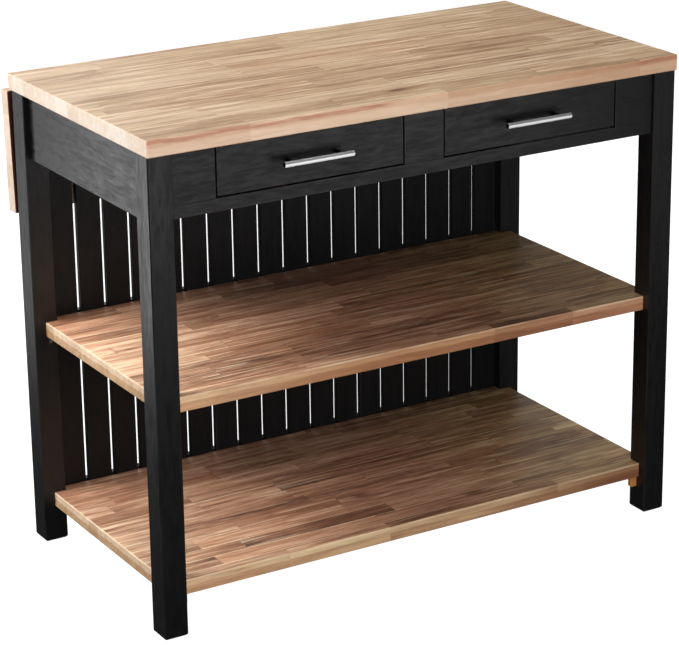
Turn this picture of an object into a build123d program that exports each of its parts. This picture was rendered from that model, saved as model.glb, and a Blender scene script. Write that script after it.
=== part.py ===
from build123d import *
import math
import os

# Kitchen work table with a butcher block top, two drawers, two open shelves, a slatted back
# and a drop leaf hinged along the back edge. Millimetres, +X right, -Y front, +Z up.
# The origin is on the floor, under the middle of the whole footprint, pulls and hanging leaf included.

hands = ((-1, "left"), (1, "right"))
overcut = 1.0               # how far a cutting shape runs past the face that it cuts

# ---- top and leaf
table_height = 900.0
slab_length = 1080.0
slab_depth = 555.0
slab_thickness = 30.0
slab_edge_radius = 2.5
leaf_width = 228.0
leaf_gap = 1.0              # between the slab's back face and the raised leaf
leaf_lean = 2.4             # degrees past vertical that the hanging leaf leans in at its foot

# ---- legs
leg_size = 46.0
leg_edge_chamfer = 1.5
foot_bevel = 4.0
glide_radius = 13.0
glide_thickness = 2.0
overhang_end = 1.5
overhang_front = 4.0
overhang_back = 12.5

# ---- aprons and the front frame
side_apron_setback = 11.5
side_apron_height = 120.0
apron_thickness = 20.0
front_setback = 7.0
front_frame_height = 114.0
front_rail_height = 23.5
back_apron_height = 114.0
side_stile_width = 82.5
middle_stile_width = 80.0

# ---- slatted back
slat_count = 18
slat_gap = 7.6
slat_thickness = 12.0
slat_group_count = 3
rail_thickness = 15.0
middle_rail_height = 38.0
slat_top_gap = 2.0

# ---- shelves
shelf_thickness = 28.0
shelf_edge_radius = 2.0
middle_shelf_top = 438.0
bottom_shelf_top = 99.0
shelf_end_lap = 23.5        # how far each end of a shelf reaches in between the legs
shelf_front_inset = 21.5    # from the slab's front face to the shelf's front edge
shelf_notch_gap = 0.5
shelf_back_gap = 1.0

# ---- what the shelves rest on: pegs under the bottom one, steel angles under the middle one
peg_width = 10.0
peg_height = 21.0
peg_reach = 13.5            # from the leg's inner face
peg_tenon = 15.0            # let into the leg
peg_offset = 7.0            # from the leg's middle towards the middle of the table
peg_rounding = 3.0
bracket_width = 12.0
bracket_reach = 16.0
bracket_thickness = 2.0
bracket_end_inset = 1.0     # from the end of the shelf
bracket_screw_inset = 9.5   # from the corner of the angle
bracket_screw_length = 10.0
bracket_screw_radius = 1.5
bracket_screw_head_radius = 3.0
bracket_screw_head_height = 1.5

# ---- drawers
drawer_gap = 2.5
drawer_front_thickness = 18.0
drawer_back_clearance = 86.5    # from the closed box to the slats
drawer_side_drop = 14.5     # top edge of the box below the top edge of the front
drawer_side_thickness = 12.0
drawer_side_rise = 6.0      # bottom edge of the box above the bottom edge of the front
drawer_bottom_thickness = 6.0
drawer_groove_depth = 5.0
drawer_groove_rise = 7.0
slide_space = 12.7          # between the bearer and the drawer side
bearer_thickness = 18.0
bearer_height = 60.0

# ---- drawer slides
channel_height = 36.0
channel_wall = 1.2
channel_clearance = 1.2     # from the channel's open face to the drawer side
runner_wall = 1.5
runner_clearance = 2.8      # above and below the runner, inside the channel
runner_depth = 8.0
runner_front_gap = 3.0
runner_back_gap = 7.0       # from the runner's back end to the back of the box

# ---- bar pulls
pull_length = 136.0
pull_radius = 5.0
pull_post_radius = 4.0
pull_post_spacing = 96.0
pull_reach = 30.0           # from the drawer face to the outside of the bar
pull_end_chamfer = 0.6
screw_radius = 2.0
screw_hole_clearance = 0.1
screw_head_radius = 4.0
screw_head_height = 2.5
screw_tip_gap = 1.0         # between a screw's tip and the bottom of its hole
pull_screw_engagement = 12.0

# ---- hinges
hinge_count = 3
hinge_end_inset = 140.0     # from the end of the slab to the middle of the outer hinges
hinge_length = 62.0
knuckle_count = 5
knuckle_gap = 0.4
barrel_radius = 4.0
barrel_clearance = 0.5      # from the barrel to the underside of the slab and of the raised leaf
hinge_pin_radius = 2.0
hinge_pin_clearance = 0.05
plate_thickness = 1.6
plate_width = 24.0
plate_clearance = 0.6       # between a plate and the other plate's knuckles
hinge_screw_radius = 1.5
hinge_screw_length = 7.0
hinge_screw_head_radius = 3.0
hinge_screw_head_height = 0.75
hinge_screw_inset = 17.0    # from the axis
hinge_screw_spread = 20.0   # each side of the hinge's middle
batten_height = 26.0
batten_end_inset = 8.0      # from the end of the slab

# ---- corner blocks, their screws and the bumpers for the hanging leaf
block_size = 36.0
block_height = 84.0
block_top_gap = 2.0
top_screw_radius = 2.5
top_screw_engagement = 18.0
top_screw_head_radius = 5.0
top_screw_head_height = 3.0
bumper_radius = 8.0
bumper_rise = 16.0          # above the foot of the hanging leaf
bumper_clearance = 0.3

# ---- worked-out places
hinge_drop = barrel_radius + barrel_clearance
slab_underside = table_height - slab_thickness
pull_beyond_slab = pull_reach - front_setback - overhang_front
leaf_beyond_slab = leaf_gap / 2 + hinge_drop + slab_thickness
overall_depth = pull_beyond_slab + slab_depth + leaf_beyond_slab
slab_front = -overall_depth / 2 + pull_beyond_slab
slab_back = slab_front + slab_depth
slab_end = slab_length / 2

leg_outer = slab_end - overhang_end
leg_inner = leg_outer - leg_size
front_leg_face = slab_front + overhang_front
front_leg_back = front_leg_face + leg_size
back_leg_back = slab_back - overhang_back
back_leg_face = back_leg_back - leg_size

frame_face = front_leg_face + front_setback
frame_back = frame_face + apron_thickness
frame_bottom = slab_underside - front_frame_height
opening_bottom = frame_bottom + front_rail_height
opening_inner = middle_stile_width / 2
opening_outer = leg_inner - side_stile_width
opening_width = opening_outer - opening_inner
side_apron_outer = leg_outer - side_apron_setback
side_apron_inner = side_apron_outer - apron_thickness

rail_face = back_leg_back - rail_thickness
slat_face = rail_face - slat_thickness
slat_pitch = 2 * leg_inner / slat_count
slat_bottom = bottom_shelf_top - shelf_thickness
shelf_half_length = leg_inner + shelf_end_lap
middle_shelf_bottom = middle_shelf_top - shelf_thickness
bracket_hole_radius = bracket_screw_radius + screw_hole_clearance
bracket_hole_depth = bracket_screw_length + screw_tip_gap
leg_rows = ((front_leg_face, 1), (back_leg_face, -1))
leg_places = [(side, y0, inward) for side in (-1, 1) for y0, inward in leg_rows]

drawer_bottom_edge = opening_bottom + drawer_gap
drawer_top_edge = slab_underside - drawer_gap
drawer_front_back = frame_face + drawer_front_thickness
drawer_box_back = slat_face - drawer_back_clearance
box_bottom = drawer_bottom_edge + drawer_side_rise
box_top = drawer_top_edge - drawer_side_drop
box_half_width = opening_width / 2 - slide_space
slide_height = (box_bottom + box_top) / 2
runner_front = drawer_front_back + runner_front_gap
pull_height = (drawer_bottom_edge + drawer_top_edge) / 2
pull_axis_y = frame_face - pull_reach + pull_radius

hinge_axis_y = slab_back + leaf_gap / 2
hinge_axis_z = slab_underside - hinge_drop
batten_back = hinge_axis_y - hinge_drop
hinge_hole_radius = hinge_screw_radius + screw_hole_clearance
hinge_spacing = 2 * (slab_end - hinge_end_inset) / (hinge_count - 1)
hinge_centres = [hinge_end_inset - slab_end + number * hinge_spacing for number in range(hinge_count)]
fold_angle = -(90.0 + leaf_lean)


def block(x0, x1, y0, y1, z0, z1):
    """A box between two corners."""
    size = (abs(x1 - x0), abs(y1 - y0), abs(z1 - z0))
    middle = ((x0 + x1) / 2, (y0 + y1) / 2, (z0 + z1) / 2)
    return Pos(*middle) * Box(*size)


def rod(start, end, radius):
    """A round bar between two points that differ along one axis."""
    line = Vector(*end) - Vector(*start)
    plane = Plane(origin=start, z_dir=line)
    return extrude(plane * Circle(radius), line.length)


def merged(shapes):
    """One shape from shapes that touch or overlap."""
    whole = shapes[0]
    for shape in shapes[1:]:
        whole = whole + shape
    return whole


def save(node, *shapes):
    """Write one node; several shapes stay separate solids in it."""
    solids = []
    for shape in shapes:
        solids.extend(shape.solids())
    whole = solids[0] if len(solids) == 1 else Compound(children=solids)
    export_step(whole, os.path.join("parts", node + ".step"))


# ---- top, legs and aprons

def make_top_slab():
    slab = block(-slab_end, slab_end, slab_front, slab_back, slab_underside, table_height)
    slab = fillet(slab.edges(), slab_edge_radius)
    for x, y in block_centres():
        tip = slab_underside + top_screw_engagement
        start = (x, y, slab_underside - overcut)
        slab = slab - rod(start, (x, y, tip), top_screw_radius + screw_hole_clearance)
    return slab


def make_leg(side, y0, inward):
    """side is -1 for the left legs and +1 for the right ones; inward points to the table's middle."""
    leg = block(side * leg_inner, side * leg_outer, y0, y0 + leg_size, glide_thickness, slab_underside)
    leg = chamfer(leg.faces().sort_by(Axis.Z)[0].edges(), foot_bevel)
    leg = chamfer(leg.edges().filter_by(Axis.Z), leg_edge_chamfer)
    into_leg, into_shelf = bracket_rods(side, y0, inward, bracket_hole_radius, 0, bracket_hole_depth)
    return leg - shelf_peg(side, y0, inward) - into_leg


def make_foot_glides():
    glides = []
    for side, y0, inward in leg_places:
        x = side * (leg_inner + leg_size / 2)
        y = y0 + leg_size / 2
        glide = rod((x, y, 0), (x, y, glide_thickness), glide_radius)
        glides.append(chamfer(glide.faces().sort_by(Axis.Z)[0].edges(), glide_thickness / 3))
    return glides


def make_side_apron(side):
    x0 = side * side_apron_inner
    x1 = side * side_apron_outer
    bottom = slab_underside - side_apron_height
    apron = block(x0, x1, front_leg_back, back_leg_face, bottom, slab_underside)
    return chamfer(apron.faces().sort_by(Axis.Z)[0].edges().filter_by(Axis.Y), leg_edge_chamfer / 2)


def make_back_apron():
    bottom = slab_underside - back_apron_height
    return block(-leg_inner, leg_inner, rail_face, back_leg_back, bottom, slab_underside)


def make_front_rail():
    rail = block(-leg_inner, leg_inner, frame_face, frame_back, frame_bottom, opening_bottom)
    return chamfer(rail.faces().sort_by(Axis.Z)[0].edges().filter_by(Axis.X), leg_edge_chamfer / 2)


def make_front_stile(x0, x1):
    return block(x0, x1, frame_face, frame_back, opening_bottom, slab_underside)


def block_centres():
    """Middle of each corner block, seen from above."""
    centres = []
    for side in (-1, 1):
        x = side * (side_apron_inner - block_size / 2)
        centres.append((x, front_leg_back + block_size / 2))
        centres.append((x, back_leg_face - block_size / 2))
    return centres


def make_corner_blocks():
    blocks = []
    half = block_size / 2
    top = slab_underside - block_top_gap
    hole_radius = top_screw_radius + screw_hole_clearance
    for x, y in block_centres():
        corner = block(x - half, x + half, y - half, y + half, top - block_height, top)
        blocks.append(corner - rod((x, y, 0), (x, y, table_height), hole_radius))
    return blocks


def make_top_screws():
    screws = []
    head_top = slab_underside - block_top_gap - block_height
    tip = slab_underside + top_screw_engagement - screw_tip_gap
    for x, y in block_centres():
        shank = rod((x, y, head_top), (x, y, tip), top_screw_radius)
        head = rod((x, y, head_top - top_screw_head_height), (x, y, head_top), top_screw_head_radius)
        screws.append(shank + head)
    return screws


# ---- slatted back

def make_slats(group):
    """The slats of one third of the back, counted from the left."""
    slats = []
    per_group = slat_count // slat_group_count
    for number in range(group * per_group, (group + 1) * per_group):
        x0 = -leg_inner + number * slat_pitch + slat_gap / 2
        x1 = x0 + slat_pitch - slat_gap
        slats.append(block(x0, x1, slat_face, rail_face, slat_bottom, slab_underside - slat_top_gap))
    return slats


def make_slat_rail(top, height):
    return block(-leg_inner, leg_inner, rail_face, back_leg_back, top - height, top)


# ---- shelves

def make_shelf(top):
    front = slab_front + shelf_front_inset
    back = slat_face - shelf_back_gap
    bottom = top - shelf_thickness
    shelf = block(-shelf_half_length, shelf_half_length, front, back, bottom, top)
    for side in (-1, 1):
        inner = side * (leg_inner - shelf_notch_gap)
        beyond = side * (shelf_half_length + overcut)
        front_limit = front_leg_back + shelf_notch_gap
        back_limit = back_leg_face - shelf_notch_gap
        low = bottom - overcut
        high = top + overcut
        shelf = shelf - block(inner, beyond, front - overcut, front_limit, low, high)
        shelf = shelf - block(inner, beyond, back_limit, back + overcut, low, high)
    front_edges = shelf.faces().sort_by(Axis.Y)[0].edges().filter_by(Axis.X)
    end_edges = shelf.faces().sort_by(Axis.X)[0].edges().filter_by(Axis.Y)
    end_edges = end_edges + shelf.faces().sort_by(Axis.X)[-1].edges().filter_by(Axis.Y)
    return fillet(front_edges + end_edges, shelf_edge_radius)


def make_middle_shelf():
    shelf = make_shelf(middle_shelf_top)
    for side, y0, inward in leg_places:
        into_leg, into_shelf = bracket_rods(side, y0, inward, bracket_hole_radius, 0, bracket_hole_depth)
        shelf = shelf - into_shelf
    return shelf


def shelf_peg(side, y0, inward):
    """The squared peg that stands out of a leg's inner face, tenon included."""
    middle = y0 + leg_size / 2 + inward * peg_offset
    top = bottom_shelf_top - shelf_thickness
    near = side * (leg_inner - peg_reach)
    far = side * (leg_inner + peg_tenon)
    return block(near, far, middle - peg_width / 2, middle + peg_width / 2, top - peg_height, top)


def make_bottom_shelf_pegs():
    pegs = []
    for side, y0, inward in leg_places:
        peg = shelf_peg(side, y0, inward)
        faces = peg.faces().sort_by(Axis.X)
        nose = faces[-1] if side < 0 else faces[0]
        pegs.append(fillet(nose.edges().sort_by(Axis.Z)[:-1], peg_rounding))
    return pegs


def bracket_face(y0, inward):
    """The face of a leg that looks at the other leg on its side and carries a bracket."""
    return y0 + leg_size / 2 + inward * leg_size / 2


def bracket_rods(side, y0, inward, radius, start, end):
    """A rod into the leg and a rod up into the shelf, between two depths from the bracket's outside."""
    x = side * (shelf_half_length - bracket_end_inset - bracket_width / 2)
    y = bracket_face(y0, inward) + inward * bracket_screw_inset
    z = middle_shelf_bottom - bracket_screw_inset
    face_y = bracket_face(y0, inward) + inward * bracket_thickness
    face_z = middle_shelf_bottom - bracket_thickness
    into_leg = rod((x, face_y - inward * start, z), (x, face_y - inward * end, z), radius)
    into_shelf = rod((x, y, face_z + start), (x, y, face_z + end), radius)
    return into_leg, into_shelf


def make_middle_shelf_brackets():
    brackets = []
    for side, y0, inward in leg_places:
        x0 = side * (shelf_half_length - bracket_end_inset)
        x1 = x0 - side * bracket_width
        y = bracket_face(y0, inward)
        low = middle_shelf_bottom - bracket_reach
        under = middle_shelf_bottom - bracket_thickness
        bracket = block(x0, x1, y, y + inward * bracket_thickness, low, middle_shelf_bottom)
        bracket = bracket + block(x0, x1, y, y + inward * bracket_reach, under, middle_shelf_bottom)
        for hole in bracket_rods(side, y0, inward, bracket_hole_radius, -overcut, bracket_hole_depth):
            bracket = bracket - hole
        brackets.append(bracket)
    return brackets


def make_bracket_screws():
    screws = []
    for side, y0, inward in leg_places:
        shanks = bracket_rods(side, y0, inward, bracket_screw_radius, 0, bracket_screw_length)
        heads = bracket_rods(side, y0, inward, bracket_screw_head_radius, 0, -bracket_screw_head_height)
        screws.extend(shank + head for shank, head in zip(shanks, heads))
    return screws


# ---- drawer bearers and slides

def make_bearer(side, wall_x, away):
    """wall_x is the face that carries the slide; away is the direction from the drawer."""
    x0 = side * wall_x
    x1 = side * (wall_x + away * bearer_thickness)
    half = bearer_height / 2
    return block(x0, x1, frame_back, slat_face, slide_height - half, slide_height + half)


def make_channel(side, wall_x, away):
    """C-shaped fixed member of a slide, open towards the drawer."""
    depth = slide_space - channel_clearance
    length = drawer_box_back - drawer_front_back
    half = channel_height / 2
    inside = half - channel_wall
    back = runner_front + length
    web = side * (wall_x - away * channel_wall)
    lip = side * (wall_x - away * depth)
    past_lip = side * (wall_x - away * (depth + overcut))
    outer = block(side * wall_x, lip, runner_front, back, slide_height - half, slide_height + half)
    hollow = block(
        web, past_lip, runner_front - overcut, back + overcut, slide_height - inside, slide_height + inside
    )
    return outer - hollow


def make_runner(side, wall_x, away):
    """U-shaped moving member of a slide, closed face against the drawer side."""
    half = channel_height / 2 - channel_wall - runner_clearance
    inside = half - runner_wall
    back = drawer_box_back - runner_back_gap
    face = wall_x - away * slide_space
    web = side * (face + away * runner_wall)
    lip = side * (face + away * runner_depth)
    past_lip = side * (face + away * (runner_depth + overcut))
    outer = block(side * face, lip, runner_front, back, slide_height - half, slide_height + half)
    hollow = block(
        web, past_lip, runner_front - overcut, back + overcut, slide_height - inside, slide_height + inside
    )
    return outer - hollow


# ---- drawers

def drawer_middle(side):
    return side * (opening_inner + opening_outer) / 2


def bottom_panel(side):
    """The drawer's bottom panel, let into grooves all round."""
    half = box_half_width - drawer_side_thickness + drawer_groove_depth
    middle = drawer_middle(side)
    z0 = box_bottom + drawer_groove_rise
    front = drawer_front_back - drawer_groove_depth
    back = drawer_box_back - drawer_side_thickness + drawer_groove_depth
    return block(middle - half, middle + half, front, back, z0, z0 + drawer_bottom_thickness)


def pull_post_places(side):
    middle = drawer_middle(side)
    return (middle - pull_post_spacing / 2, middle + pull_post_spacing / 2)


def make_drawer_front(side):
    half = opening_width / 2 - drawer_gap
    x0 = drawer_middle(side) - half
    x1 = drawer_middle(side) + half
    front = block(x0, x1, frame_face, drawer_front_back, drawer_bottom_edge, drawer_top_edge)
    front = chamfer(front.faces().sort_by(Axis.Y)[0].edges(), leg_edge_chamfer / 2)
    front = front - bottom_panel(side)
    for x in pull_post_places(side):
        start = (x, frame_face - overcut, pull_height)
        end = (x, drawer_front_back + overcut, pull_height)
        front = front - rod(start, end, screw_radius + screw_hole_clearance)
    return front


def make_drawer_side(side, edge):
    """edge is -1 for the drawer's left side and +1 for its right side."""
    outer = drawer_middle(side) + edge * box_half_width
    inner = outer - edge * drawer_side_thickness
    board = block(outer, inner, drawer_front_back, drawer_box_back, box_bottom, box_top)
    return board - bottom_panel(side)


def make_drawer_back(side):
    half = box_half_width - drawer_side_thickness
    middle = drawer_middle(side)
    front = drawer_box_back - drawer_side_thickness
    board = block(middle - half, middle + half, front, drawer_box_back, box_bottom, box_top)
    return board - bottom_panel(side)


def make_pull(side):
    middle = drawer_middle(side)
    half = pull_length / 2
    start = (middle - half, pull_axis_y, pull_height)
    end = (middle + half, pull_axis_y, pull_height)
    bar = rod(start, end, pull_radius)
    ends = bar.faces().sort_by(Axis.X)[0].edges() + bar.faces().sort_by(Axis.X)[-1].edges()
    pull = chamfer(ends, pull_end_chamfer)
    for x in pull_post_places(side):
        pull = pull + rod((x, pull_axis_y, pull_height), (x, frame_face, pull_height), pull_post_radius)
    for x in pull_post_places(side):
        mouth = (x, frame_face + overcut, pull_height)
        tip = (x, frame_face - pull_screw_engagement, pull_height)
        pull = pull - rod(mouth, tip, screw_radius + screw_hole_clearance)
    return pull


def make_pull_screws(side):
    screws = []
    for x in pull_post_places(side):
        head_face = drawer_front_back + screw_head_height
        tip = frame_face - pull_screw_engagement + screw_tip_gap
        shank = rod((x, drawer_front_back, pull_height), (x, tip, pull_height), screw_radius)
        head = rod((x, drawer_front_back, pull_height), (x, head_face, pull_height), screw_head_radius)
        screws.append(shank + head)
    return screws


# ---- drop leaf and its hinges, drawn with the leaf raised and then folded down

def fold_down(shape):
    """Swing a raised piece down to where the leaf hangs."""
    axis = Axis((0, hinge_axis_y, hinge_axis_z), (1, 0, 0))
    return shape.rotate(axis, fold_angle)


def knuckle_span(centre, number):
    """Start and end of one knuckle along the hinge."""
    step = hinge_length / knuckle_count
    start = centre - hinge_length / 2 + number * step
    return start + knuckle_gap / 2, start + step - knuckle_gap / 2


def make_barrel(centre, first):
    """Every second knuckle from the given one."""
    barrels = []
    for number in range(first, knuckle_count, 2):
        x0, x1 = knuckle_span(centre, number)
        axis = (hinge_axis_y, hinge_axis_z)
        barrels.append(rod((x0, *axis), (x1, *axis), barrel_radius))
    return barrels


def pin_bore(centre):
    axis = (hinge_axis_y, hinge_axis_z)
    x0 = centre - hinge_length
    x1 = centre + hinge_length
    return rod((x0, *axis), (x1, *axis), hinge_pin_radius + hinge_pin_clearance)


def fixed_screw_rods(centre, radius, start, end):
    """Two rods along Y through a fixed plate, between two depths from the plate's outer face."""
    face = batten_back + plate_thickness
    rods = []
    for side in (-1, 1):
        x = centre + side * hinge_screw_spread
        z = hinge_axis_z - hinge_screw_inset
        rods.append(rod((x, face - start, z), (x, face - end, z), radius))
    return rods


def leaf_screw_rods(centre, radius, start, end):
    """Two rods along Z through a raised leaf plate, between two depths from its outer face."""
    face = slab_underside - plate_thickness
    rods = []
    for side in (-1, 1):
        x = centre + side * hinge_screw_spread
        y = hinge_axis_y + hinge_screw_inset
        rods.append(rod((x, y, face + start), (x, y, face + end), radius))
    return rods


def make_fixed_plate(centre):
    half = hinge_length / 2
    top = hinge_axis_z - barrel_radius - plate_clearance
    bottom = hinge_axis_z - plate_width
    face = batten_back + plate_thickness
    plate = block(centre - half, centre + half, batten_back, face, bottom, top)
    for number in range(0, knuckle_count, 2):
        x0, x1 = knuckle_span(centre, number)
        plate = plate + block(x0, x1, batten_back, face, bottom, hinge_axis_z)
    plate = merged([plate] + make_barrel(centre, 0)) - pin_bore(centre)
    for hole in fixed_screw_rods(centre, hinge_hole_radius, -overcut, plate_thickness + overcut):
        plate = plate - hole
    return plate


def make_leaf_plate(centre):
    half = hinge_length / 2
    near = hinge_axis_y + barrel_radius + plate_clearance
    far = hinge_axis_y + plate_width
    face = slab_underside - plate_thickness
    plate = block(centre - half, centre + half, near, far, face, slab_underside)
    for number in range(1, knuckle_count, 2):
        x0, x1 = knuckle_span(centre, number)
        plate = plate + block(x0, x1, hinge_axis_y, far, face, slab_underside)
    plate = merged([plate] + make_barrel(centre, 1)) - pin_bore(centre)
    for hole in leaf_screw_rods(centre, hinge_hole_radius, -overcut, plate_thickness + overcut):
        plate = plate - hole
    return fold_down(plate)


def make_hinge_pin(centre):
    axis = (hinge_axis_y, hinge_axis_z)
    half = hinge_length / 2
    return rod((centre - half, *axis), (centre + half, *axis), hinge_pin_radius)


def make_fixed_screws(centre):
    shanks = fixed_screw_rods(centre, hinge_screw_radius, 0, hinge_screw_length)
    heads = fixed_screw_rods(centre, hinge_screw_head_radius, 0, -hinge_screw_head_height)
    return [shank + head for shank, head in zip(shanks, heads)]


def make_leaf_screws(centre):
    shanks = leaf_screw_rods(centre, hinge_screw_radius, 0, hinge_screw_length)
    heads = leaf_screw_rods(centre, hinge_screw_head_radius, 0, -hinge_screw_head_height)
    return [fold_down(shank + head) for shank, head in zip(shanks, heads)]


def make_hinge_batten():
    end = slab_end - batten_end_inset
    batten = block(-end, end, back_leg_back, batten_back, slab_underside - batten_height, slab_underside)
    batten = chamfer(batten.faces().sort_by(Axis.Z)[0].edges().filter_by(Axis.X), leg_edge_chamfer)
    for centre in hinge_centres:
        for hole in fixed_screw_rods(centre, hinge_hole_radius, 0, hinge_screw_length + screw_tip_gap):
            batten = batten - hole
    return batten


def make_drop_leaf():
    near = slab_back + leaf_gap
    leaf = block(-slab_end, slab_end, near, near + leaf_width, slab_underside, table_height)
    leaf = fillet(leaf.edges(), slab_edge_radius)
    for centre in hinge_centres:
        for hole in leaf_screw_rods(centre, hinge_hole_radius, 0, hinge_screw_length + screw_tip_gap):
            leaf = leaf - hole
    return fold_down(leaf)


def make_leaf_bumpers():
    """A round pad on the back of each rear leg, where the foot of the hanging leaf comes to rest."""
    lean = math.radians(leaf_lean)
    foot = leaf_gap / 2 + leaf_width
    along = foot - bumper_rise
    z = hinge_axis_z - along * math.cos(lean)
    leaf_face = hinge_axis_y + hinge_drop * math.cos(lean) - along * math.sin(lean)
    reach = leaf_face - bumper_radius * math.sin(lean) - bumper_clearance
    bumpers = []
    for side in (-1, 1):
        x = side * (leg_inner + leg_size / 2)
        bumper = rod((x, back_leg_back, z), (x, reach, z), bumper_radius)
        rim = bumper.faces().sort_by(Axis.Y)[-1].edges()
        bumpers.append(fillet(rim, bumper_radius / 4))
    return bumpers


def build_frame():
    save("top_slab", make_top_slab())
    for side, hand in hands:
        save("leg_front_" + hand, make_leg(side, front_leg_face, 1))
        save("leg_back_" + hand, make_leg(side, back_leg_face, -1))
        save("side_apron_" + hand, make_side_apron(side))
    save("foot_glides", *make_foot_glides())
    save("back_apron", make_back_apron())
    save("front_rail", make_front_rail())
    save("front_stile_left", make_front_stile(-leg_inner, -opening_outer))
    save("front_stile_middle", make_front_stile(-opening_inner, opening_inner))
    save("front_stile_right", make_front_stile(opening_outer, leg_inner))
    save("corner_blocks", *make_corner_blocks())
    save("top_screws", *make_top_screws())
    for group in range(slat_group_count):
        save("back_slats_" + str(group + 1), *make_slats(group))
    save("back_middle_rail", make_slat_rail(middle_shelf_top, middle_rail_height))
    save("back_bottom_rail", make_slat_rail(bottom_shelf_top, shelf_thickness))
    save("middle_shelf", make_middle_shelf())
    save("bottom_shelf", make_shelf(bottom_shelf_top))
    save("middle_shelf_brackets", *make_middle_shelf_brackets())
    save("bracket_screws", *make_bracket_screws())
    save("bottom_shelf_pegs", *make_bottom_shelf_pegs())


def build_drawers():
    for side, hand in hands:
        for place, wall_x, away in (("outer", opening_outer, 1), ("inner", opening_inner, -1)):
            save(hand + "_drawer_bearer_" + place, make_bearer(side, wall_x, away))
            save(hand + "_drawer_channel_" + place, make_channel(side, wall_x, away))
            save(hand + "_drawer_runner_" + place, make_runner(side, wall_x, away))
        save(hand + "_drawer_front", make_drawer_front(side))
        save(hand + "_drawer_side_left", make_drawer_side(side, -1))
        save(hand + "_drawer_side_right", make_drawer_side(side, 1))
        save(hand + "_drawer_back", make_drawer_back(side))
        save(hand + "_drawer_bottom", bottom_panel(side))
        save(hand + "_drawer_pull", make_pull(side))
        save(hand + "_drawer_pull_screws", *make_pull_screws(side))


def build_leaf():
    save("drop_leaf", make_drop_leaf())
    save("hinge_batten", make_hinge_batten())
    save("hinge_fixed_plates", *[make_fixed_plate(x) for x in hinge_centres])
    save("hinge_leaf_plates", *[make_leaf_plate(x) for x in hinge_centres])
    save("hinge_pins", *[make_hinge_pin(x) for x in hinge_centres])
    fixed_screws = []
    leaf_screws = []
    for centre in hinge_centres:
        fixed_screws.extend(make_fixed_screws(centre))
        leaf_screws.extend(make_leaf_screws(centre))
    save("hinge_fixed_screws", *fixed_screws)
    save("hinge_leaf_screws", *leaf_screws)
    save("leaf_bumpers", *make_leaf_bumpers())


os.makedirs("parts", exist_ok=True)
build_frame()
build_drawers()
build_leaf()
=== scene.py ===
import math

import bpy
import bmesh
from mathutils import Matrix, Vector


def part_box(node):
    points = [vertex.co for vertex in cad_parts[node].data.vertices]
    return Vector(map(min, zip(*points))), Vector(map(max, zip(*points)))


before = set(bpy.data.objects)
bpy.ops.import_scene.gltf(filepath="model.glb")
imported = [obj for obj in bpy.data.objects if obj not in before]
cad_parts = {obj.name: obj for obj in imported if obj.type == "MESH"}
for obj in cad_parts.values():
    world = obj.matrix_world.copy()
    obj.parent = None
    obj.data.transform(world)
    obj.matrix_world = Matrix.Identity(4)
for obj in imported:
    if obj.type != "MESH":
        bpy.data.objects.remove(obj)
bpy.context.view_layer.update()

# Kitchen work table: butcher block top and leaf, oiled shelves, black painted frame, satin bar pulls.
# Metres, +X right along the table, -Y towards the drawer fronts, +Z up, floor at z = 0.

MM = 0.001

# ---- sizes that the finishes follow
STRIP_WIDTH = 46 * MM           # glued strips of the top and the leaf
STAVE_LENGTH = 420 * MM
SHELF_STRIP_WIDTH = 38 * MM
SHELF_STAVE_LENGTH = 300 * MM
LEAF_LEAN = 2.4                 # degrees that the hanging leaf leans past vertical
LEAF_FACE_Y = 274.75 * MM       # its inner face, at the height of the hinge
LEAF_HINGE_Z = 865.5 * MM
EASED_EDGE = 0.7 * MM
EDGE_LAYER = 12 * MM            # depth of the upper layer that shows on the front edges
END_LAYER = 13 * MM             # and on the shelves' ends
PAINTED_SHADE_REACH = 80 * MM         # how far in from each end the leaf's inner face gets painted shade

# ---- wood figure: how many to a metre, along and across the grain
KNOTS = (4.0, 9.0)
STREAKS = (7.0, 90.0)
LINES = (5.0, 105.0)
FIBRES = (9.0, 520.0)
PORES = (38.0, 1500.0)
WANDER = (2.2, 14.0)
RINGS = 330.0
BROAD_RINGS = 70.0

UNTINTED = (1.0, 1.0, 1.0, 1.0)


def linear(red, green, blue):
    """A colour given as 0-255 screen values, as Blender's linear RGBA."""
    channels = []
    for channel in (red, green, blue):
        c = channel / 255
        channels.append(c / 12.92 if c <= 0.04045 else ((c + 0.055) / 1.055) ** 2.4)
    return (*channels, 1.0)


class Value:
    """A number that varies over a surface. Arithmetic on it adds Math nodes to its finish."""

    def __init__(self, finish, socket):
        self.finish = finish
        self.socket = socket

    def maths(self, operation, first, second=0.0):
        node = self.finish.node("ShaderNodeMath", {"operation": operation}, {0: first, 1: second})
        return Value(self.finish, node.outputs[0])

    def __add__(self, other):
        return self.maths("ADD", self, other)

    def __sub__(self, other):
        return self.maths("SUBTRACT", self, other)

    def __mul__(self, other):
        return self.maths("MULTIPLY", self, other)

    def __truediv__(self, other):
        return self.maths("DIVIDE", self, other)

    def __radd__(self, other):
        return self.maths("ADD", other, self)

    def __rsub__(self, other):
        return self.maths("SUBTRACT", other, self)

    def __rmul__(self, other):
        return self.maths("MULTIPLY", other, self)

    def __rtruediv__(self, other):
        return self.maths("DIVIDE", other, self)

    def floor(self):
        return self.maths("FLOOR", self)

    def fraction(self):
        return self.maths("FRACT", self)

    def size(self):
        return self.maths("ABSOLUTE", self)

    def root(self):
        return self.maths("SQRT", self)

    def higher(self, other):
        return self.maths("MAXIMUM", self, other)


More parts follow.
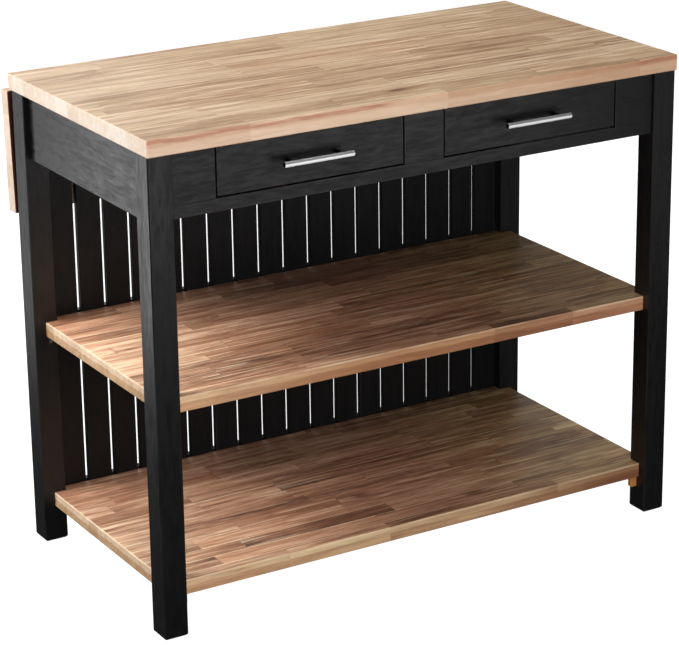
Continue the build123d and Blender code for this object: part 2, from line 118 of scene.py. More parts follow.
class Finish:
    """A material, mixed node by node round one Principled shader."""

    def __init__(self, name, roughness=0.5, metallic=0.0, specular=0.5):
        self.material = bpy.data.materials.new(name)
        self.material.use_nodes = True
        self.tree = self.material.node_tree
        self.tree.nodes.clear()
        settings = {"Roughness": roughness, "Metallic": metallic, "Specular IOR Level": specular}
        self.shader = self.node("ShaderNodeBsdfPrincipled", {}, settings)
        output = self.tree.nodes.new("ShaderNodeOutputMaterial")
        self.tree.links.new(self.shader.outputs["BSDF"], output.inputs["Surface"])

    def node(self, kind, settings, sockets):
        """One node: its settings first, then the value or link of each socket."""
        node = self.tree.nodes.new(kind)
        for name, setting in settings.items():
            if name == "stops":
                self.set_stops(node.color_ramp, setting)
            else:
                setattr(node, name, setting)
        for name, value in sockets.items():
            if isinstance(value, Value):
                self.tree.links.new(value.socket, node.inputs[name])
            else:
                node.inputs[name].default_value = value
        return node

    def set_stops(self, ramp, stops):
        while len(ramp.elements) < len(stops):
            ramp.elements.new(1.0)
        for element, (position, colour) in zip(ramp.elements, stops):
            element.position = position
            element.color = colour

    def place(self, turn=(0.0, 0.0, 0.0), shift=(0.0, 0.0, 0.0)):
        """Object coordinates, moved by shift and then turned."""
        start = self.node("ShaderNodeTexCoord", {}, {})
        moved = self.shifted(Value(self, start.outputs["Object"]), shift)
        turned = self.node("ShaderNodeMapping", {}, {"Vector": moved, "Rotation": turn})
        return Value(self, turned.outputs[0])

    def shifted(self, vector, shift):
        node = self.node("ShaderNodeVectorMath", {"operation": "ADD"}, {0: vector, 1: shift})
        return Value(self, node.outputs[0])

    def split(self, vector):
        node = self.node("ShaderNodeSeparateXYZ", {}, {0: vector})
        return [Value(self, output) for output in node.outputs]

    def join(self, x, y, z):
        node = self.node("ShaderNodeCombineXYZ", {}, {0: x, 1: y, 2: z})
        return Value(self, node.outputs[0])

    def stretch(self, vector, factors):
        node = self.node("ShaderNodeVectorMath", {"operation": "MULTIPLY"}, {0: vector, 1: factors})
        return Value(self, node.outputs[0])

    def noise(self, vector, detail, roughness=0.5, distortion=0.0):
        sockets = {
            "Vector": vector,
            "Scale": 1.0,
            "Detail": detail,
            "Roughness": roughness,
            "Distortion": distortion,
        }
        return Value(self, self.node("ShaderNodeTexNoise", {}, sockets).outputs[0])

    def cell_distance(self, vector):
        """Distance to the nearest of the points scattered one to a cell."""
        settings = {"voronoi_dimensions": "3D"}
        node = self.node("ShaderNodeTexVoronoi", settings, {"Vector": vector, "Scale": 1.0})
        return Value(self, node.outputs["Distance"])

    def line_noise(self, position, detail, roughness=0.5):
        sockets = {"W": position, "Scale": 1.0, "Detail": detail, "Roughness": roughness}
        node = self.node("ShaderNodeTexNoise", {"noise_dimensions": "1D"}, sockets)
        return Value(self, node.outputs[0])

    def chances(self, vector):
        """Three random numbers that stay the same wherever the vector does."""
        node = self.node("ShaderNodeTexWhiteNoise", {"noise_dimensions": "3D"}, {"Vector": vector})
        return self.split(Value(self, node.outputs["Color"]))

    def range(self, value, low, high, new_low=0.0, new_high=1.0):
        """value from low..high, eased on to new_low..new_high."""
        settings = {"interpolation_type": "SMOOTHSTEP"}
        sockets = {0: value, 1: low, 2: high, 3: new_low, 4: new_high}
        return Value(self, self.node("ShaderNodeMapRange", settings, sockets).outputs[0])

    def shades(self, value, stops):
        node = self.node("ShaderNodeValToRGB", {"stops": stops}, {0: value})
        return Value(self, node.outputs[0])

    def blend(self, factor, first, second):
        settings = {"data_type": "RGBA", "blend_type": "MIX"}
        node = self.node("ShaderNodeMix", settings, {0: factor, 6: first, 7: second})
        return Value(self, node.outputs[2])

    def scaled(self, colour, factor):
        node = self.node("ShaderNodeVectorMath", {"operation": "SCALE"}, {0: colour, "Scale": factor})
        return Value(self, node.outputs[0])

    def bump(self, height, depth, strength):
        """Relief on the shader's normal; depth is in metres."""
        sockets = {"Height": height, "Distance": depth, "Strength": strength}
        node = self.node("ShaderNodeBump", {}, sockets)
        self.tree.links.new(node.outputs[0], self.shader.inputs["Normal"])

    def lay(self, **sockets):
        """Link values to the shader: colour, roughness, metallic."""
        for name, value in sockets.items():
            self.tree.links.new(value.socket, self.shader.inputs[name.replace("_", " ").title()])


# ---- wood

DARK_LINE = linear(104, 70, 46)
PALE_LINE = linear(236, 214, 184)
BLUSH = linear(170, 114, 80)
PORE = linear(96, 66, 42)
DARK_GLUE = linear(120, 84, 56)
PALE_GLUE = linear(226, 204, 168)
END_JOINT = linear(104, 72, 48)
KNOT = linear(86, 54, 34)


def glued_strips(finish, vector, strip, stave, palette, seed, streak, dark_lines, pale_lines):
    """Solid wood made of glued strips along X, each of several staves.

    Growth rings run round a centre of their own in each stave, so that faces along the grain show
    long figure and the ends show arcs. Returns colour, relief, fibre and tone.
    """
    x, y, z = finish.split(vector)

    def grain(rate, detail, roughness=0.5, along=0.0, across=0.0):
        """Noise drawn out along the strips, moved along and across by two values."""
        place = finish.join(x * rate[0] + along, y * rate[1] + across, z * rate[1])
        return finish.noise(place, detail, roughness)

    rows = y / strip + seed
    row = rows.floor()
    row_chance, row_warp, row_tone = finish.chances(finish.join(row, seed, 0.5))
    bent = x + finish.line_noise(x * 3.0 + row_chance * 40.0, 0.0) * (stave * 0.9)
    staves = bent / stave + row_chance * 9.0
    first, second, third = finish.chances(finish.join(row, staves.floor(), seed + 0.25))

    knot_far = finish.cell_distance(finish.join(x * KNOTS[0], y * KNOTS[1], seed * 1.37))
    knot_pull = finish.range(knot_far, 0.0, 0.3, 1.0, 0.0)
    knot_core = finish.range(knot_far, 0.04, 0.1, 1.0, 0.0)

    wander = grain(WANDER, 2.0, 0.5, first * 30.0, second * 20.0)
    ring_y = (rows.fraction() - 0.5) * strip + (second - 0.5) * 0.11
    ring_z = z - (0.012 + third * 0.07)
    distance = (ring_y * ring_y + ring_z * ring_z).root() + wander * 0.022 + knot_pull * 0.006
    rings = finish.line_noise(distance * RINGS + first * 90.0, 2.5, 0.55)
    broad = finish.line_noise(distance * BROAD_RINGS + third * 50.0, 1.0)
    fibre = grain(FIBRES, 3.0, 0.6)
    pores = finish.range(grain(PORES, 1.0), 0.62, 0.72)

    swerve = knot_pull * 0.5 + wander * 1.2
    streaks = grain(STREAKS, 4.0, 0.72, third * 9.0, swerve)
    lines = grain(LINES, 3.0, 0.6, 0.0, second * 50.0 + swerve)
    tone = first * 0.48 + row_tone * 0.12 + (broad - 0.5) * 0.3 + 0.2 + (rings - 0.5) * 0.3
    tone = tone + (fibre - 0.5) * 0.25 + (streaks - 0.5) * streak + knot_pull * 0.2
    colour = finish.shades(tone, palette)
    blush = finish.range(second + (streaks - 0.5) * 1.1, 0.80, 1.05, 0.0, 0.2)
    colour = finish.blend(blush, colour, BLUSH)
    colour = finish.blend(finish.range(lines, 0.56, 0.64) * dark_lines, colour, DARK_LINE)
    colour = finish.blend(finish.range(lines, 0.36, 0.43, 1.0, 0.0) * pale_lines, colour, PALE_LINE)
    colour = finish.blend(pores * 0.35, colour, PORE)

    strip_edge = (0.5 - (rows.fraction() - 0.5).size()) * strip
    stave_edge = (0.5 - (staves.fraction() - 0.5).size()) * stave
    glue = finish.range(strip_edge, 0.0, 0.9 * MM, 1.0, 0.0)
    end_joint = finish.range(stave_edge, 0.0, 1.0 * MM, 1.0, 0.0)
    glue_colour = finish.blend(finish.range(row_warp, 0.35, 0.45), DARK_GLUE, PALE_GLUE)
    colour = finish.blend(glue * 0.55, colour, glue_colour)
    colour = finish.blend(end_joint * 0.5, colour, END_JOINT)
    colour = finish.blend(knot_core * 0.6, colour, KNOT)
    relief = fibre * 0.5 + rings * 0.35 - pores * 0.8 - glue * 0.6 - end_joint * 0.6
    return colour, relief, fibre, tone


def end_faces(finish, x, half_length):
    """1 on both ends of a board, 0 along it."""
    return finish.range(x.size(), half_length - 1.4 * MM, half_length - 0.4 * MM)


def ends_with_painted_light(half_length, light, dark):
    """End faces at both ends painted paler than the sides: partly paler end grain, partly painted
    light for the lamp that lights the left ends.
    """
    def paint(finish, colour, tone):
        x, y, z = finish.split(finish.place())
        pale_lit_end_colour = finish.shades(tone, [(0.1, light), (0.9, dark)])
        # painted light: the end faces take a paler colour than the sides
        return finish.blend(end_faces(finish, x, half_length), colour, pale_lit_end_colour)
    return paint


def lower_ends(half_length, split, tint):
    """The lower layer of both ends, below the height split, multiplied by tint."""
    def paint(finish, colour, tone):
        x, y, z = finish.split(finish.place())
        wave = (finish.line_noise(y * 14.0, 2.0) - 0.5) * (5 * MM)
        low = finish.range(z + wave, split - 1.5 * MM, split + 1.5 * MM, 1.0, 0.0)
        low_end = end_faces(finish, x, half_length) * low
        return finish.stretch(colour, finish.blend(low_end, UNTINTED, (*tint, 1.0)))
    return paint


def painted_rim_highlight(front, half_length, top):
    """Painted highlight on the rounded upper edges at the front and at the ends, broken up along
    them.
    """
    def paint(finish, colour, tone):
        x, y, z = finish.split(finish.place())
        at_front = finish.range(y, front + 0.5 * MM, front + 2.5 * MM, 1.0, 0.0)
        at_end = finish.range(x.size(), half_length - 2.5 * MM, half_length - 0.5 * MM)
        high = finish.range(z, top - 4.0 * MM, top - 2.0 * MM)
        uneven = finish.range(finish.line_noise(x * 7.0 + y * 9.0, 2.0), 0.35, 0.65, 0.15, 1.0)
        rim = (at_front * 0.4).higher(at_end * 0.7) * high * uneven
        # painted highlight: the rim is blended towards near white
        return finish.blend(rim, colour, linear(246, 224, 190))
    return paint


def painted_leg_shade(half_length):
    """Painted shade on the leaf's inner face near each end, where it hangs in shadow between the
    legs.
    """
    lean = math.tan(math.radians(LEAF_LEAN))
    shade_start = half_length - PAINTED_SHADE_REACH

    def paint(finish, colour, tone):
        x, y, z = finish.split(finish.place())
        depth = y - (z - LEAF_HINGE_Z) * lean - LEAF_FACE_Y
        inner = finish.range(depth, 0.6 * MM, 1.4 * MM, 1.0, 0.0)
        near_leg = finish.range(x.size(), shade_start - 10 * MM, shade_start)
        # painted shade: dark reddish brown on the inner face near the ends
        return finish.blend(inner * near_leg, colour, linear(58, 30, 22))
    return paint


def front_edge(front, light, dark, low_light, low_dark, split, painted_light_tints):
    """The long front edge in two layers; split is the height between them.

    The last argument holds what its left end, middle and right end are multiplied by: painted light
    and shade along the edge.
    """
    def paint(finish, colour, tone):
        x, y, z = finish.split(finish.place())
        on_front = finish.range(y, front + 0.3 * MM, front + 1.6 * MM, 1.0, 0.0)
        wave = (finish.line_noise(x * 6.0, 2.0) - 0.5) * (6 * MM)
        layer = finish.range(z + wave, split - 1.5 * MM, split + 1.5 * MM)
        upper = finish.shades(tone, [(0.1, light), (0.95, dark)])
        lower = finish.shades(tone, [(0.1, low_light), (0.95, low_dark)])
        # painted light and shade: a tint that changes from the left end to the right end
        tint = finish.blend(finish.range(x, -0.45, -0.1), (*painted_light_tints[0], 1.0), (*painted_light_tints[1], 1.0))
        tint = finish.blend(finish.range(x, 0.1, 0.45), tint, (*painted_light_tints[2], 1.0))
        layers = finish.stretch(finish.blend(layer, lower, upper), tint)
        return finish.blend(on_front, colour, layers)
    return paint


def painted_shelf_light(back, gain, left_gain):
    """Painted light and shade on the shelf boards: lighter and paler at the left front where the left
    light falls, greener towards the right, painted shade towards the back.
    """
    def paint(finish, colour, tone):
        x, y, z = finish.split(finish.place())
        left = finish.range(x, -0.5, -0.08, 1.0, 0.0)
        right = finish.range(x, 0.05, 0.45)
        rear = finish.range(y, back - 0.30, back - 0.03)
        left_front = left * (1.0 - rear)
        # part of the painted light: greener towards the right, paler at the left front
        colour = finish.stretch(colour, finish.blend(right, UNTINTED, (1.14, 1.32, 1.02, 1.0)))
        colour = finish.stretch(colour, finish.blend(left_front, UNTINTED, (1.0, 1.22, 1.3, 1.0)))
        # painted shade towards the back, less of it at the left
        shade = 1.0 - rear * (0.54 - left * 0.3)
        return finish.scaled(colour, (1.14 + left * left_gain) * gain * shade)
    return paint


def red_streak(front, top):
    """A reddish vein along the front of the top, over its left half and near its right end."""
    def paint(finish, colour, tone):
        x, y, z = finish.split(finish.place())
        wave = (finish.line_noise(x * 9.0, 3.0) - 0.5) * (12 * MM)
        depth = wave + (top - z)
        patch = finish.noise(finish.join(x * 16.0, z * 240.0, 0.0), 3.0, 0.6)
        band = finish.range(depth, 0.0, 2.5 * MM)
        band = band * finish.range(depth, 6.0 * MM, 11.0 * MM, 1.0, 0.0)
        band = band * finish.range(patch, 0.32, 0.6, 0.35, 1.0)
        near = finish.range(y, front + 1.0 * MM, front + 2.4 * MM, 1.0, 0.0)
        left = finish.range(x, -0.10, -0.05, 1.0, 0.0)
        right = finish.range(x, 0.43, 0.47)
        return finish.blend(band * near * left.higher(right) * 0.72, colour, linear(172, 108, 88))
    return paint


def block_wood(name, turn, shift, strip, stave, palette, seed, roughness, lines, faces):
    """Glued strips laid from one corner of a board.

    turn and shift bring the board's strips along X; lines holds the strength of its streaks, dark
    lines and pale lines; faces are functions that colour one side each.
    """
    finish = Finish(name, roughness)
    vector = finish.place(turn, shift)
    colour, relief, fibre, tone = glued_strips(finish, vector, strip, stave, palette, seed, *lines)
    for face in faces:
        colour = face(finish, colour, tone)
    uneven = finish.range(fibre, 0.2, 0.8, roughness - 0.08, roughness + 0.12)
    finish.lay(base_color=colour, roughness=uneven)
    finish.bump(relief, 0.25 * MM, 0.6)
    return finish.material


TOP_PALETTE = [
    (0.0, linear(206, 180, 150)),
    (0.35, linear(192, 164, 132)),
    (0.65, linear(177, 147, 115)),
    (1.0, linear(146, 114, 84)),
]
SHELF_PALETTE = [
    (0.0, linear(172, 134, 108)),
    (0.35, linear(146, 107, 84)),
    (0.65, linear(122, 85, 65)),
    (1.0, linear(76, 48, 37)),
]

# strength of streaks, dark lines and pale lines
TOP_LINES = (1.7, 0.42, 0.5)
LEAF_LINES = (1.5, 0.3, 0.3)
SHELF_LINES = (2.3, 0.6, 0.18)

TOP_ROUGHNESS = 0.46
SHELF_ROUGHNESS = 0.42

# front edges: what the left end, middle and right end are multiplied by, as painted light and shade
# along the edge
TOP_EDGE_PAINTED_LIGHT = ((1.05, 1.08, 1.14), (1.0, 1.0, 1.0), (0.95, 0.86, 0.8))
MIDDLE_SHELF_EDGE_PAINTED_LIGHT = ((1.55, 1.8, 2.05), (0.95, 0.88, 0.86), (1.2, 1.15, 1.3))
BOTTOM_SHELF_EDGE_PAINTED_LIGHT = ((1.65, 2.0, 2.3), (1.5, 1.9, 2.15), (0.66, 0.58, 0.58))


def top_wood():
    low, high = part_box("top_slab")
    shift = (0.0, 0.4 * STRIP_WIDTH - low.y, -low.z)
    faces = (
        # end faces painted paler, partly painted light from the left
        ends_with_painted_light(high.x, linear(208, 195, 182), linear(190, 170, 150)),
        # front edge in two layers, painted lighter at the left end and darker at the right
        front_edge(low.y, linear(222, 185, 154), linear(198, 158, 126),
                   linear(228, 198, 170), linear(204, 168, 138), high.z - EDGE_LAYER, TOP_EDGE_PAINTED_LIGHT),
        red_streak(low.y, high.z),
    )
    return block_wood("butcher_block_top", (0, 0, 0), shift, STRIP_WIDTH, STAVE_LENGTH,
                      TOP_PALETTE, 3.0, TOP_ROUGHNESS, TOP_LINES, faces)


def leaf_wood():
    low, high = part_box("drop_leaf")
    shift = (0.37, -high.y, -high.z)
    turn = (math.radians(90 + LEAF_LEAN), 0, 0)
    faces = (
        # end faces painted paler, partly painted light from the left
        ends_with_painted_light(high.x, linear(206, 188, 172), linear(186, 162, 140)),
        # painted shade on the inner face near the legs
        painted_leg_shade(high.x),
    )
    return block_wood("butcher_block_leaf", turn, shift, STRIP_WIDTH, STAVE_LENGTH,
                      TOP_PALETTE, 11.0, TOP_ROUGHNESS, LEAF_LINES, faces)


def shelf_wood(node, seed, gain, left_gain, edge_painted_light_tints):
    """gain: how light the board is; left_gain: how much painted light lies on the left front."""
    low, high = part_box(node)
    shift = (seed * 0.13, 0.4 * SHELF_STRIP_WIDTH - low.y, -low.z)
    faces = (
        # painted light and shade across the shelf top
        painted_shelf_light(high.y, gain, left_gain),
        # front edge in two layers, with painted light and shade along it
        front_edge(low.y, linear(186, 146, 108), linear(150, 108, 76),
                   linear(168, 122, 86), linear(134, 90, 62), high.z - EDGE_LAYER, edge_painted_light_tints),
        # end faces painted paler, partly painted light from the left
        ends_with_painted_light(high.x, linear(222, 196, 168), linear(188, 154, 124)),
        lower_ends(high.x, high.z - END_LAYER, (0.72, 0.62, 0.5)),
        # painted highlight on the rounded upper edges
        painted_rim_highlight(low.y, high.x, high.z),
    )
    return block_wood(node + "_wood", (0, 0, 0), shift, SHELF_STRIP_WIDTH, SHELF_STAVE_LENGTH,
                      SHELF_PALETTE, seed, SHELF_ROUGHNESS, SHELF_LINES, faces)


def along_grain(grain, along, across):
    """How fast noise varies: slowly along one axis, faster across it."""
    rates = [across, across, across]
    rates[grain] = along
    return rates


def plain_wood(name, grain, light, dark, seed, roughness=0.6):
    """One board of bare or sealed wood with its grain along one axis (0, 1 or 2)."""
    finish = Finish(name, roughness)
    vector = finish.place((0, 0, 0), (0.31 * seed, 0.17 * seed, 0.23 * seed))
    coarse = along_grain(grain, 2.2, 30.0)
    fine = along_grain(grain, 9.0, 420.0)
    figure = finish.noise(finish.stretch(vector, coarse), 3.0, 0.55, 0.6)
    fibre = finish.noise(finish.stretch(vector, fine), 3.0, 0.6)
    tone = figure * 0.8 + fibre * 0.35 - 0.1
    colour = finish.shades(tone, [(0.2, light), (0.8, dark)])
    finish.lay(base_color=colour)
    finish.bump(fibre, 0.2 * MM, 0.5)
    return finish.material


# ---- paint

def black_paint(name, grain, low, high, seed, specular):
    """Satin black paint over wood: the grain shows faintly; edges are painted a little lighter, as
    rubbed paint and as painted highlight.
    """
    finish = Finish(name, specular=specular)
    vector = finish.place()
    fine = along_grain(grain, 7.0, 260.0)
    broad = along_grain(grain, 2.5, 38.0)
    brushing = along_grain(grain, 26.0, 130.0)
    shifted = finish.shifted(vector, (seed, seed * 0.7, seed * 1.3))
    fibre = finish.noise(finish.stretch(shifted, fine), 3.0, 0.6)
    figure = finish.noise(finish.stretch(shifted, broad), 3.0, 0.55, 0.8)
    cloud = finish.noise(finish.stretch(shifted, (9.0, 9.0, 9.0)), 2.0)
    strokes = finish.noise(finish.stretch(shifted, brushing), 4.0, 0.65, 0.3)

    near = []
    for axis, place in enumerate(finish.split(vector)):
        middle = (low[axis] + high[axis]) / 2
        half = (high[axis] - low[axis]) / 2
        from_face = half - (place - middle).size()
        near.append(finish.range(from_face, 0.4 * MM, 3.0 * MM, 1.0, 0.0))
    edge = (near[0] * near[1]).higher(near[1] * near[2]).higher(near[0] * near[2])
    rubbed_and_highlit = edge * finish.range(figure, 0.35, 0.65)

    tone = fibre * 0.45 + figure * 0.4 + cloud * 0.25
    colour = finish.shades(tone, [(0.35, linear(10, 10, 11)), (0.8, linear(17, 17, 18))])
    # edges painted lighter grey: partly rubbed paint, partly painted highlight
    colour = finish.blend(rubbed_and_highlit * 0.5, colour, linear(48, 46, 45))
    roughness = finish.range(strokes + figure * 0.4, 0.48, 0.92, 0.27, 0.49)
    finish.lay(base_color=colour, roughness=roughness)
    finish.bump(fibre * 0.3 + strokes + figure * 0.5, 0.9 * MM, 0.7)
    return finish.material


# ---- metal, plastic and rubber

def pull_metal(name, node):
    """Satin metal bar with painted reflection: near white underneath and greyer on top, with painted
    shade on the posts and ends.
    """
    finish = Finish(name)
    low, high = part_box(node)
    x, y, z = finish.split(finish.place())
    radius = (high.z - low.z) / 2
    half_length = (high.x - low.x) / 2
    brushing = finish.noise(finish.stretch(finish.place(), (40.0, 2600.0, 2600.0)), 2.0, 0.6)
    upper = finish.range(z, low.z + radius * 1.05, low.z + radius * 1.45)
    behind = finish.range(y, low.y + radius * 1.75, low.y + radius * 2.05)
    off_middle = (x - (low.x + high.x) / 2).size()
    end = finish.range(off_middle, half_length - 0.5 * MM, half_length - 0.1 * MM)
    shaded_posts_and_ends = behind.higher(end)
    # painted reflection: near white below, greyer on top
    bar = finish.shades(brushing, [(0.2, linear(240, 240, 240)), (0.8, linear(255, 255, 255))])
    bar = finish.blend(upper, bar, linear(196, 196, 198))
    # painted shade on the posts and end caps; little metal where the painted white shows
    finish.lay(base_color=finish.blend(shaded_posts_and_ends, bar, linear(30, 30, 31)),
               metallic=finish.range(upper.higher(shaded_posts_and_ends), 0.0, 1.0, 0.08, 0.7),
               roughness=finish.range(brushing, 0.2, 0.8, 0.26, 0.4))
    finish.bump(brushing, 0.02 * MM, 0.4)
    return finish.material


def zinc_steel(name):
    """Zinc plating with a faint patchy spangle."""
    finish = Finish(name, metallic=1.0)
    patches = finish.noise(finish.stretch(finish.place(), (90.0, 90.0, 90.0)), 3.0, 0.6)
    spangle = [(0.3, linear(150, 152, 156)), (0.7, linear(188, 190, 192))]
    finish.lay(base_color=finish.shades(patches, spangle),
               roughness=finish.range(patches, 0.3, 0.7, 0.3, 0.46))
    return finish.material


def moulded(name, dark, light, roughness):
    """Moulded plastic or rubber with a fine pitted skin."""
    finish = Finish(name, roughness)
    skin = finish.noise(finish.stretch(finish.place(), (1400.0, 1400.0, 1400.0)), 2.0)
    finish.lay(base_color=finish.shades(skin, [(0.3, dark), (0.7, light)]))
    finish.bump(skin, 0.05 * MM, 0.4)
    return finish.material


# ---- dressing the nodes

def dress(node, material):
    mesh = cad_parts[node].data
    mesh.materials.clear()
    mesh.materials.append(material)


def ease_edges(node):
    """Round the sharp edges of a board a little."""
    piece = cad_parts[node]
    weld = piece.modifiers.new("weld", "WELD")
    weld.merge_threshold = 0.01 * MM
    bevel = piece.modifiers.new("eased_edges", "BEVEL")
    bevel.width = EASED_EDGE
    bevel.segments = 2
    bevel.limit_method = "ANGLE"
    bevel.angle_limit = math.radians(60)
    bevel.harden_normals = True


X_GRAIN, Y_GRAIN, Z_GRAIN = 0, 1, 2

PAINTED = {
    "leg_front_left": Z_GRAIN,
    "leg_front_right": Z_GRAIN,
    "leg_back_left": Z_GRAIN,
    "leg_back_right": Z_GRAIN,
    "side_apron_left": Y_GRAIN,
    "side_apron_right": Y_GRAIN,
    "back_apron": X_GRAIN,
    "front_rail": X_GRAIN,
    "front_stile_left": X_GRAIN,
    "front_stile_middle": X_GRAIN,
    "front_stile_right": X_GRAIN,
    "left_drawer_front": X_GRAIN,
    "right_drawer_front": X_GRAIN,
    "back_slats_1": Z_GRAIN,
    "back_slats_2": Z_GRAIN,
    "back_slats_3": Z_GRAIN,
    "back_middle_rail": X_GRAIN,
    "back_bottom_rail": X_GRAIN,
}


def dress_all():
    for number, (node, grain) in enumerate(PAINTED.items()):
        low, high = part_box(node)
        specular = 0.25 if "slats" in node else 0.5
        dress(node, black_paint("black_paint_" + node, grain, low, high, number * 1.7, specular))
    dress("top_slab", top_wood())
    dress("drop_leaf", leaf_wood())
    dress("middle_shelf", shelf_wood("middle_shelf", 5.0, 1.05, 3.0, MIDDLE_SHELF_EDGE_PAINTED_LIGHT))
    dress("bottom_shelf", shelf_wood("bottom_shelf", 8.0, 1.27, 1.15, BOTTOM_SHELF_EDGE_PAINTED_LIGHT))

    bare = linear(196, 132, 78), linear(142, 84, 44)
    sealed = linear(214, 184, 142), linear(176, 138, 94)
    bare_x = plain_wood("bare_hardwood_x", X_GRAIN, *bare, 1)
    bare_y = plain_wood("bare_hardwood_y", Y_GRAIN, *bare, 2)
    bare_z = plain_wood("bare_hardwood_z", Z_GRAIN, *bare, 3)
    box_x = plain_wood("drawer_wood_x", X_GRAIN, *sealed, 4, 0.45)
    box_y = plain_wood("drawer_wood_y", Y_GRAIN, *sealed, 5, 0.45)
    zinc = zinc_steel("zinc_plated_steel")
    nylon = moulded("glide_nylon", linear(34, 34, 35), linear(52, 52, 54), 0.6)
    coated = moulded("powder_coated_steel", linear(20, 20, 21), linear(32, 32, 33), 0.5)
    rubber = moulded("bumper_rubber", linear(24, 24, 24), linear(40, 40, 40), 0.75)
    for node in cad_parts:
        if "bearer" in node:
            dress(node, bare_y)
        elif node in ("hinge_batten", "bottom_shelf_pegs"):
            dress(node, bare_x)
        elif node == "corner_blocks":
            dress(node, bare_z)
        elif "drawer_side" in node:
            dress(node, box_y)
        elif node.endswith(("drawer_back", "drawer_bottom")):
            dress(node, box_x)
        elif node.endswith("_pull"):
            dress(node, pull_metal("satin_nickel_" + node, node))
        elif "channel" in node or "runner" in node or "screws" in node:
            dress(node, zinc)
        elif node in ("hinge_fixed_plates", "hinge_leaf_plates", "hinge_pins"):
            dress(node, zinc)
        elif node == "foot_glides":
            dress(node, nylon)
        elif node == "leaf_bumpers":
            dress(node, rubber)
        elif node == "middle_shelf_brackets":
            dress(node, coated)


# ---- studio

# name, place, target, width, height, power and what it lights
LAMPS = (
    ("left_softbox", (-2.6, 0.5, 1.6), (0.0, 0.0, 0.7), 1.3, 1.4, 82.0, "diffuse"),
    ("right_softbox", (3.2, 0.3, 0.6), (0.0, 0.0, 0.55), 1.6, 1.6, 34.0, "diffuse"),
    ("right_sheen", (2.4, -0.9, 0.5), (0.4, 0.0, 0.5), 1.0, 1.0, 2.5, "sheen"),
    ("back_softbox", (1.2, 3.4, 0.9), (0.0, 0.2, 0.6), 1.8, 1.2, 60.0, "diffuse"),
    ("back_sheen", (2.3, 2.6, 0.25), (0.0, 0.25, 0.5), 1.6, 1.0, 9.0, "sheen"),
    ("top_softbox", (-0.2, 0.3, 3.0), (0.0, 0.0, 0.9), 2.4, 1.6, 50.0, "all"),
    ("front_softbox", (-1.1, -3.1, 1.1), (-0.2, 0.0, 0.8), 1.8, 1.2, 90.0, "diffuse"),
    ("left_sheen", (-1.4, 0.83, 0.54), (-0.54, -0.1, 0.75), 1.0, 0.95, 6.8, "sheen"),
    ("front_sheen", (0.2, -1.57, 0.52), (0.0, -0.28, 0.8), 1.9, 0.7, 4.2, "sheen"),
    ("top_sheen", (0.0, 2.5, 1.5), (-0.3, 0.0, 0.9), 1.6, 1.0, 9.5, "sheen"),
)


def lamp(name, place, target, width, height, power, lights):
    """An area lamp; lights is "all", or limits it to the sheen or diffuse light of surfaces."""
    light = bpy.data.lights.new(name, "AREA")
    light.shape = "RECTANGLE"
    light.size = width
    light.size_y = height
    light.energy = power
    body = bpy.data.objects.new(name, light)
    bpy.context.scene.collection.objects.link(body)
    aim = Vector(target) - Vector(place)
    body.location = place
    body.rotation_mode = "QUATERNION"
    body.rotation_quaternion = aim.to_track_quat("-Z", "Y")
    body.visible_camera = False
    body.visible_diffuse = lights != "sheen"
    body.visible_glossy = lights != "diffuse"


WHITE = (1.0, 1.0, 1.0, 1.0)
FLOOR_SIZE = 30.0
FLOOR_GLOW = 0.97
AMBIENT = 0.05


def make_floor():
    """A pale floor that the camera sees but that lights nothing."""
    grid = bmesh.new()
    bmesh.ops.create_grid(grid, x_segments=1, y_segments=1, size=FLOOR_SIZE)
    mesh = bpy.data.meshes.new("floor")
    grid.to_mesh(mesh)
    grid.free()
    floor = bpy.data.objects.new("floor", mesh)
    bpy.context.scene.collection.objects.link(floor)
    finish = Finish("pale_floor", 0.9, specular=0.0)
    patches = finish.noise(finish.stretch(finish.place(), (3.0, 3.0, 3.0)), 2.0)
    greys = [(0.3, linear(150, 150, 150)), (0.7, linear(158, 158, 158))]
    finish.lay(base_color=finish.shades(patches, greys))
    finish.shader.inputs["Emission Color"].default_value = WHITE
    finish.shader.inputs["Emission Strength"].default_value = FLOOR_GLOW
    mesh.materials.append(finish.material)
    floor.visible_diffuse = False
    floor.visible_glossy = False


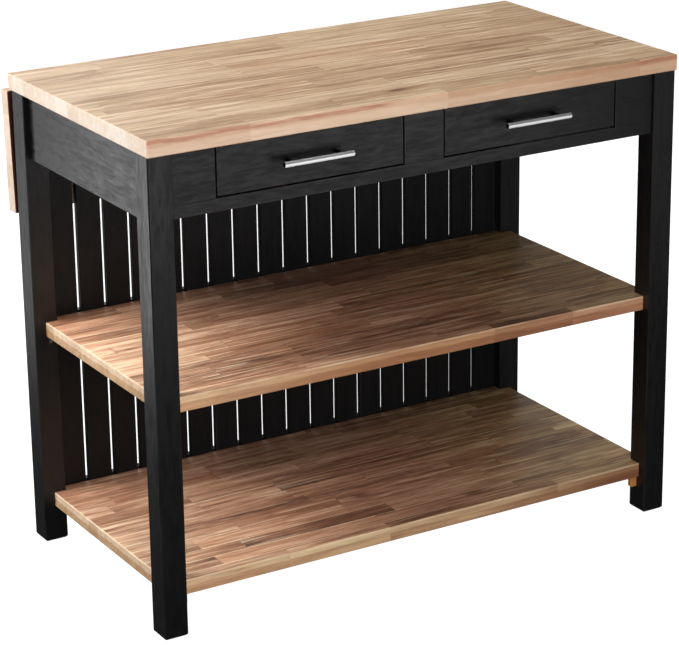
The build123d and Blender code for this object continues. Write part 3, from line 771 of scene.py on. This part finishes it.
def make_world():
    """White behind the table, and a dim even light from all round."""
    world = bpy.data.worlds.new("studio")
    bpy.context.scene.world = world
    world.use_nodes = True
    tree = world.node_tree
    tree.nodes.clear()
    seen = tree.nodes.new("ShaderNodeBackground")
    seen.inputs["Color"].default_value = WHITE
    seen.inputs["Strength"].default_value = 1.0
    ambient = tree.nodes.new("ShaderNodeBackground")
    ambient.inputs["Color"].default_value = WHITE
    ambient.inputs["Strength"].default_value = AMBIENT
    path = tree.nodes.new("ShaderNodeLightPath")
    mix = tree.nodes.new("ShaderNodeMixShader")
    output = tree.nodes.new("ShaderNodeOutputWorld")
    tree.links.new(path.outputs["Is Camera Ray"], mix.inputs[0])
    tree.links.new(ambient.outputs[0], mix.inputs[1])
    tree.links.new(seen.outputs[0], mix.inputs[2])
    tree.links.new(mix.outputs[0], output.inputs["Surface"])


CAMERA_PLACE = (-2.3104, -3.9011, 1.9991)
CAMERA_AZIMUTH = -30.38         # degrees
CAMERA_ELEVATION = 18.62
CAMERA_ROLL = -0.84
LENS = 136.2                    # mm, as the sensor's width
SENSOR_WIDTH = 36.0
LENS_SHIFT = (0.0073, -0.0521)


def make_camera():
    """A long lens from the front left, a little above the top."""
    azimuth = math.radians(CAMERA_AZIMUTH)
    elevation = math.radians(CAMERA_ELEVATION)
    roll = math.radians(CAMERA_ROLL)
    back = Vector((
        math.sin(azimuth) * math.cos(elevation),
        -math.cos(azimuth) * math.cos(elevation),
        math.sin(elevation),
    ))
    level = (-back).cross(Vector((0, 0, 1))).normalized()
    upright = level.cross(-back)
    right = level * math.cos(roll) + upright * math.sin(roll)
    up = upright * math.cos(roll) - level * math.sin(roll)
    lens = bpy.data.cameras.new("camera")
    lens.lens = LENS
    lens.sensor_width = SENSOR_WIDTH
    lens.shift_x, lens.shift_y = LENS_SHIFT
    lens.clip_start = 0.1
    lens.clip_end = 100.0
    camera = bpy.data.objects.new("camera", lens)
    bpy.context.scene.collection.objects.link(camera)
    turn = Matrix((right, up, back)).transposed().to_4x4()
    camera.matrix_world = Matrix.Translation(CAMERA_PLACE) @ turn
    bpy.context.scene.camera = camera


def make_studio():
    make_floor()
    make_world()
    for settings in LAMPS:
        lamp(*settings)
    make_camera()
    view = bpy.context.scene.view_settings
    view.view_transform = "Standard"
    view.look = "None"


make_studio()
dress_all()
for painted_node in PAINTED:
    ease_edges(painted_node)
